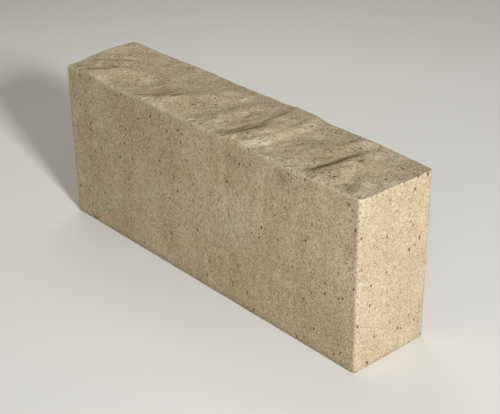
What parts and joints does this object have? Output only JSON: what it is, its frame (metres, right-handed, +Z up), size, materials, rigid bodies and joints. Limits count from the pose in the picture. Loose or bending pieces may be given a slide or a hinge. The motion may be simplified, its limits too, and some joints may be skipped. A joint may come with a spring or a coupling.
{
  "type": "concrete kerb stone",
  "caption": "Straight upright concrete kerb stone with smooth cast sides, rounded upright corners and a riven top face, for edging paving or a bed.",
  "frame": {"origin": "middle of the bed, the flat face that the stone stands on", "axes": "+Z up, +X along the kerb line, -Y towards the paving that the stone edges"},
  "size_m": [0.5, 0.105, 0.2083],
  "materials": {
    "concrete": "matt sand-coloured cast concrete, sandy and pitted, riven on top"
  },
  "bodies": {
    "root": {"kerb_stone": "concrete"}
  },
  "joints": []
}
